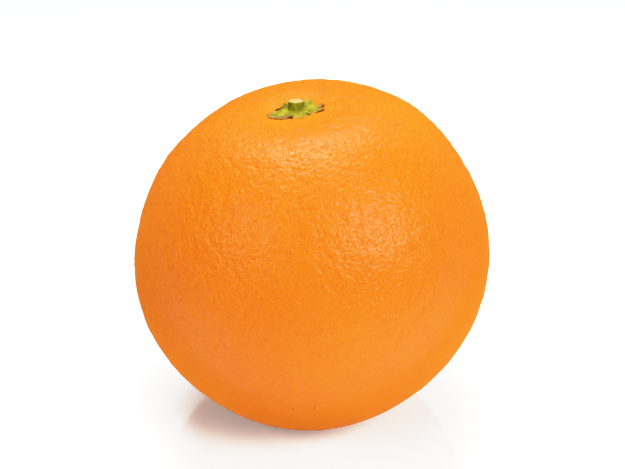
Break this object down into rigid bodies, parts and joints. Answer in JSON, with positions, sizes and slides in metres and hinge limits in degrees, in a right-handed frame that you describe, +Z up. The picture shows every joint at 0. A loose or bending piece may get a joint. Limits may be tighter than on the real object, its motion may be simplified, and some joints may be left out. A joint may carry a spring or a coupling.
{
  "type": "orange",
  "caption": "Whole ripe orange resting on its blossom end, with a green lobed calyx and a short cut stub of stem in a shallow hollow on top.",
  "frame": {"origin": "on the flat spot that the fruit rests on, straight below the middle of the fruit", "axes": "+Z up through the fruit, +X to the right and -Y to the front, seen with the calyx a little left of the top"},
  "size_m": [0.0784, 0.0774, 0.0731],
  "materials": {
    "peel": "satin",
    "sepal": "matte",
    "stem_bark": "matte"
  },
  "bodies": {
    "root": {"fruit": "peel", "calyx": "sepal", "stem_stub": "stem_bark"}
  },
  "joints": []
}
